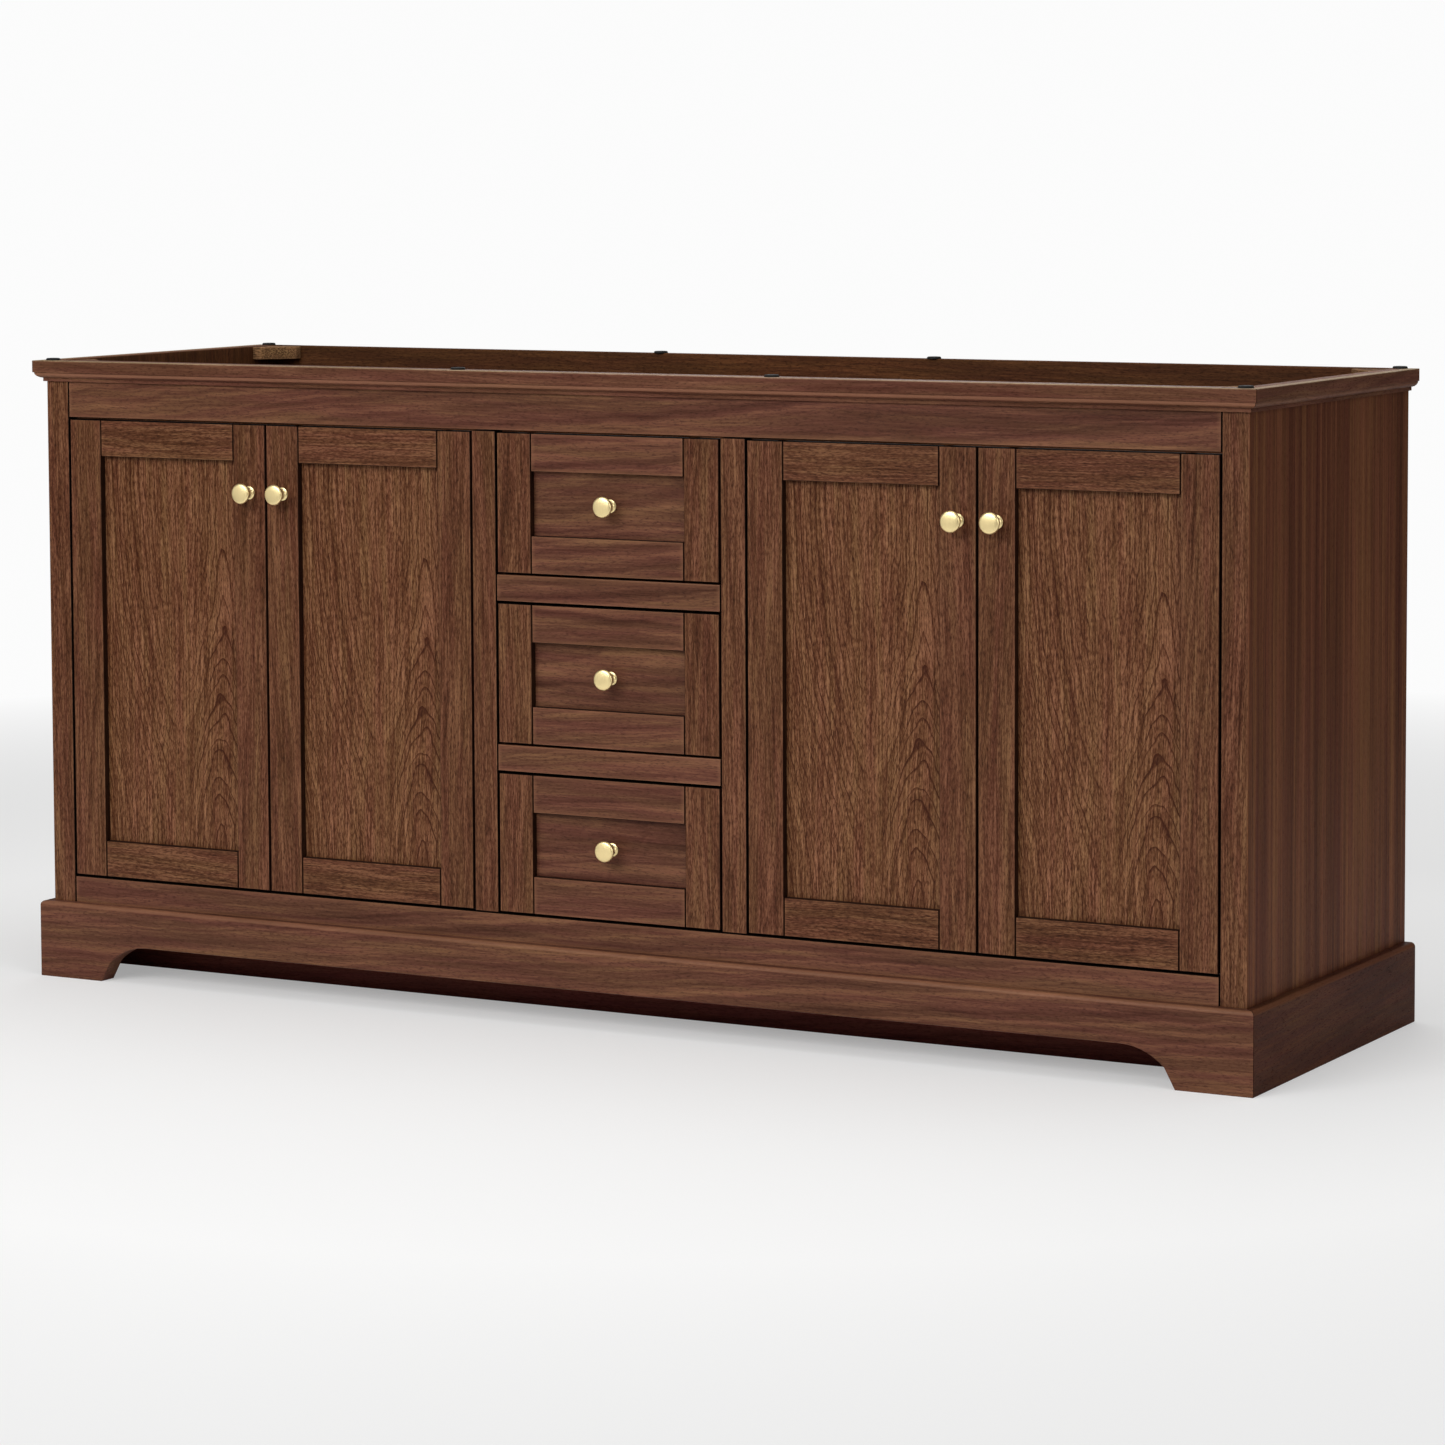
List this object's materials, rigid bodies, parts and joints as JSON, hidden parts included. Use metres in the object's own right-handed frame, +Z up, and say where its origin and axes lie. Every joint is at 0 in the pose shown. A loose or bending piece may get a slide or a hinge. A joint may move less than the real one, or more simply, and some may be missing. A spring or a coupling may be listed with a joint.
{
  "type": "bathroom vanity cabinet",
  "caption": "Freestanding double bathroom vanity base with inset shaker doors, a centre drawer stack, crown moulding, bracket-foot plinth and an open top.",
  "frame": {"origin": "on the floor, at the middle of the bounding box in plan, knobs included", "axes": "+X to the right seen from the front, +Y from the doors towards the wall, +Z up"},
  "size_m": [1.829, 0.569, 0.867],
  "materials": {
    "walnut": "satin lacquered walnut veneer and solid walnut",
    "walnut_side": "satin lacquered walnut veneer",
    "interior": "matt stained plywood",
    "toe_board": "dark stained plywood",
    "raw_wood": "sawn, lightly stained",
    "drawer_wood": "clear lacquered birch",
    "gold": "satin brushed pale gold",
    "slide_steel": "zinc plated",
    "rubber": "matt"
  },
  "bodies": {
    "cabinet": {"left_stile": "walnut", "right_stile": "walnut", "top_rail": "walnut", "bottom_rail": "walnut", "left_mid_stile": "walnut", "right_mid_stile": "walnut", "upper_drawer_rail": "walnut", "lower_drawer_rail": "walnut", "front_crown": "walnut", "left_crown": "walnut", "right_crown": "walnut", "front_plinth": "walnut", "left_plinth": "walnut", "right_plinth": "walnut", "left_side_panel": "walnut_side", "right_side_panel": "walnut_side", "bottom_panel": "interior", "rear_base_board": "interior", "back_panel": "interior", "left_partition": "interior", "right_partition": "interior", "toe_board": "toe_board", "front_left_corner_block": "raw_wood", "front_right_corner_block": "raw_wood", "back_left_corner_block": "raw_wood", "back_right_corner_block": "raw_wood", "front_left_bumper": "rubber", "front_right_bumper": "rubber", "back_left_bumper": "rubber", "back_right_bumper": "rubber", "drawer_1_left_slide": "slide_steel", "drawer_1_right_slide": "slide_steel", "drawer_2_left_slide": "slide_steel", "drawer_2_right_slide": "slide_steel", "drawer_3_left_slide": "slide_steel", "drawer_3_right_slide": "slide_steel"},
    "door_1": {"door_1_frame": "walnut", "door_1_panel": "walnut", "door_1_knob": "gold"},
    "door_2": {"door_2_frame": "walnut", "door_2_panel": "walnut", "door_2_knob": "gold"},
    "door_3": {"door_3_frame": "walnut", "door_3_panel": "walnut", "door_3_knob": "gold"},
    "door_4": {"door_4_frame": "walnut", "door_4_panel": "walnut", "door_4_knob": "gold"},
    "drawer_1": {"drawer_1_front": "walnut", "drawer_1_panel": "walnut", "drawer_1_knob": "gold", "drawer_1_box": "drawer_wood"},
    "drawer_2": {"drawer_2_front": "walnut", "drawer_2_panel": "walnut", "drawer_2_knob": "gold", "drawer_2_box": "drawer_wood"},
    "drawer_3": {"drawer_3_front": "walnut", "drawer_3_panel": "walnut", "drawer_3_knob": "gold", "drawer_3_box": "drawer_wood"}
  },
  "joints": [
    {"name": "door_1_hinge", "type": "hinge", "parent": "cabinet", "child": "door_1", "pos_m": [-0.862, -0.2595, 0.464], "axis": [0, 0, -1], "range_deg": [0, 105]},
    {"name": "door_2_hinge", "type": "hinge", "parent": "cabinet", "child": "door_2", "pos_m": [-0.207, -0.2595, 0.464], "axis": [0, 0, 1], "range_deg": [0, 90]},
    {"name": "door_3_hinge", "type": "hinge", "parent": "cabinet", "child": "door_3", "pos_m": [0.207, -0.2595, 0.464], "axis": [0, 0, -1], "range_deg": [0, 90]},
    {"name": "door_4_hinge", "type": "hinge", "parent": "cabinet", "child": "door_4", "pos_m": [0.862, -0.2595, 0.464], "axis": [0, 0, 1], "range_deg": [0, 105]},
    {"name": "drawer_1_slide", "type": "slide", "parent": "cabinet", "child": "drawer_1", "axis": [0, -1, 0], "range_m": [0, 0.43]},
    {"name": "drawer_2_slide", "type": "slide", "parent": "cabinet", "child": "drawer_2", "axis": [0, -1, 0], "range_m": [0, 0.43]},
    {"name": "drawer_3_slide", "type": "slide", "parent": "cabinet", "child": "drawer_3", "axis": [0, -1, 0], "range_m": [0, 0.43]}
  ]
}
